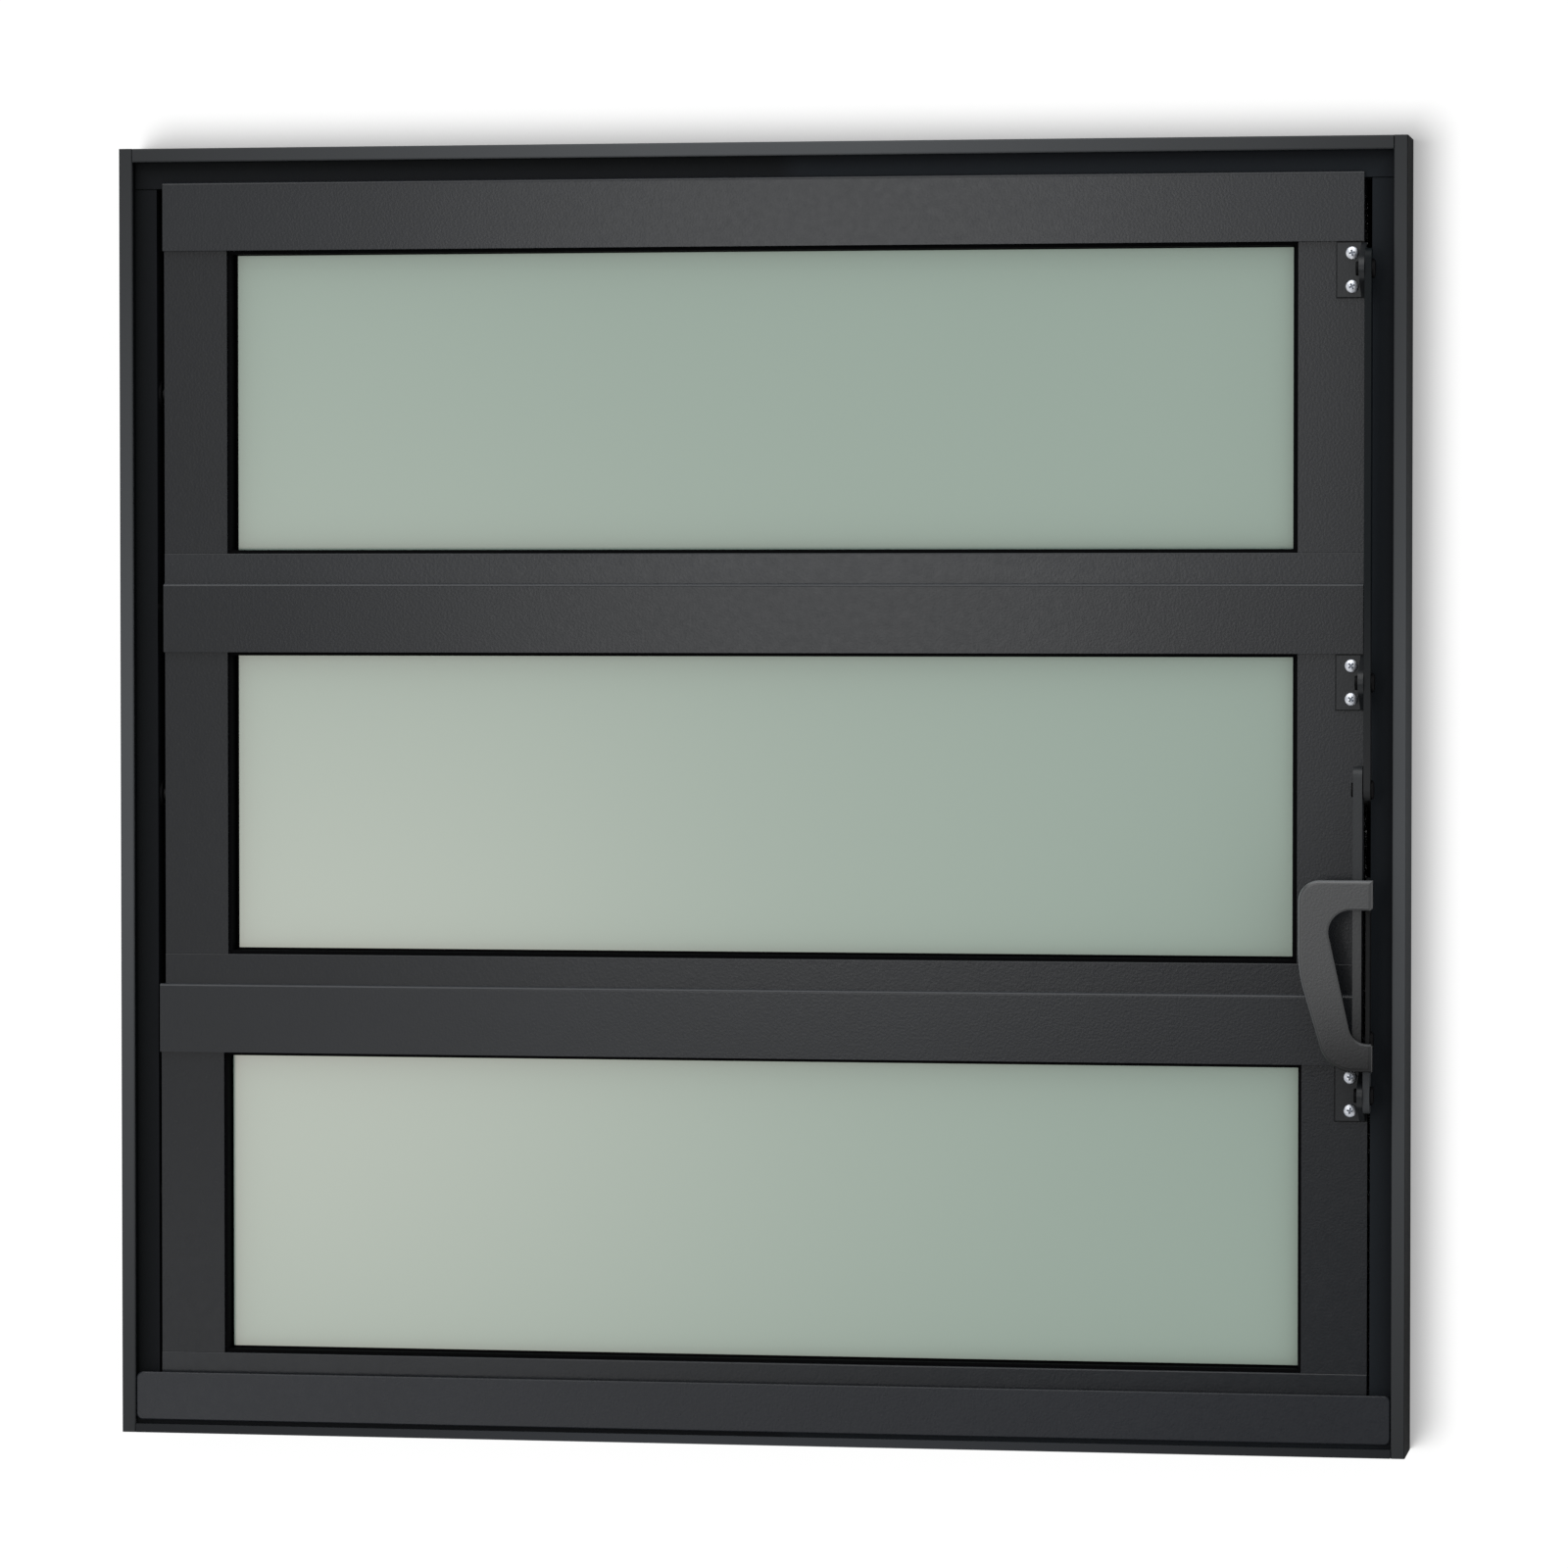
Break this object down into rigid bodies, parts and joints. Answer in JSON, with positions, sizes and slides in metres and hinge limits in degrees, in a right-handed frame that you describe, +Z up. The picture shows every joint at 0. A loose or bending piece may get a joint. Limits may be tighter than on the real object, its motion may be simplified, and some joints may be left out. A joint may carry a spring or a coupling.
{
  "type": "horizontal pivot window",
  "caption": "Aluminium window whose stacked frosted-glass leaves pivot on level axes, joined by a side link bar and worked by a D-shaped handle.",
  "frame": {"origin": "middle of the sill's underside, in the plane of the frame's front lips", "axes": "+X to the right seen from the room, +Y outdoors, +Z up"},
  "size_m": [0.6, 0.054, 0.6],
  "materials": {
    "frame_paint": "satin",
    "leaf_paint": "satin",
    "glass": "frosted",
    "rubber": "matte",
    "pile": "matte",
    "nylon": "satin",
    "steel": "satin",
    "link_paint": "satin",
    "rivet": "satin",
    "handle_paint": "satin"
  },
  "bodies": {
    "frame": {"jamb_left": "frame_paint", "jamb_right": "frame_paint", "head": "frame_paint", "sill": "frame_paint", "sill_cover": "frame_paint", "pile_seal_left": "pile", "pile_seal_right": "pile", "pivot_bushes": "nylon"},
    "leaf_top": {"leaf_1_top_rail": "leaf_paint", "leaf_1_bottom_rail": "leaf_paint", "leaf_1_stile_left": "leaf_paint", "leaf_1_stile_right": "leaf_paint", "leaf_1_glass": "glass", "leaf_1_gasket": "rubber", "leaf_1_pivot_pins": "steel", "leaf_1_bracket": "link_paint", "leaf_1_link_rivet": "rivet"},
    "leaf_middle": {"leaf_2_top_rail": "leaf_paint", "leaf_2_bottom_rail": "leaf_paint", "leaf_2_stile_left": "leaf_paint", "leaf_2_stile_right": "leaf_paint", "leaf_2_glass": "glass", "leaf_2_gasket": "rubber", "leaf_2_pivot_pins": "steel", "leaf_2_bracket": "link_paint", "leaf_2_link_rivet": "rivet"},
    "leaf_bottom": {"leaf_3_top_rail": "leaf_paint", "leaf_3_bottom_rail": "leaf_paint", "leaf_3_stile_left": "leaf_paint", "leaf_3_stile_right": "leaf_paint", "leaf_3_glass": "glass", "leaf_3_gasket": "rubber", "leaf_3_pivot_pins": "steel", "leaf_3_bracket": "link_paint", "leaf_3_link_rivet": "rivet", "handle": "handle_paint"},
    "link_bar": {"link_bar_upper": "link_paint", "link_bar_splice": "link_paint", "link_bar_lower": "link_paint", "splice_rivets": "rivet"}
  },
  "joints": [
    {"name": "leaf_bottom_pivot", "type": "hinge", "parent": "frame", "child": "leaf_bottom", "pos_m": [0, 0.015, 0.112], "axis": [1, 0, 0], "range_deg": [0, 70]},
    {"name": "leaf_top_pivot", "type": "hinge", "parent": "frame", "child": "leaf_top", "pos_m": [0, 0.015, 0.486], "axis": [1, 0, 0], "range_deg": [0, 70]},
    {"name": "leaf_middle_pivot", "type": "hinge", "parent": "frame", "child": "leaf_middle", "pos_m": [0, 0.015, 0.299], "axis": [1, 0, 0], "range_deg": [0, 70]},
    {"name": "link_bar_pivot", "type": "hinge", "parent": "leaf_bottom", "child": "link_bar", "pos_m": [0.2828, -0.006, 0.1655], "axis": [1, 0, 0], "range_deg": [-70, 0]}
  ],
  "couplings": [
    {"joint": "leaf_top_pivot", "follows": "leaf_bottom_pivot", "ratio": 1},
    {"joint": "leaf_middle_pivot", "follows": "leaf_bottom_pivot", "ratio": 1},
    {"joint": "link_bar_pivot", "follows": "leaf_bottom_pivot", "ratio": -1}
  ]
}
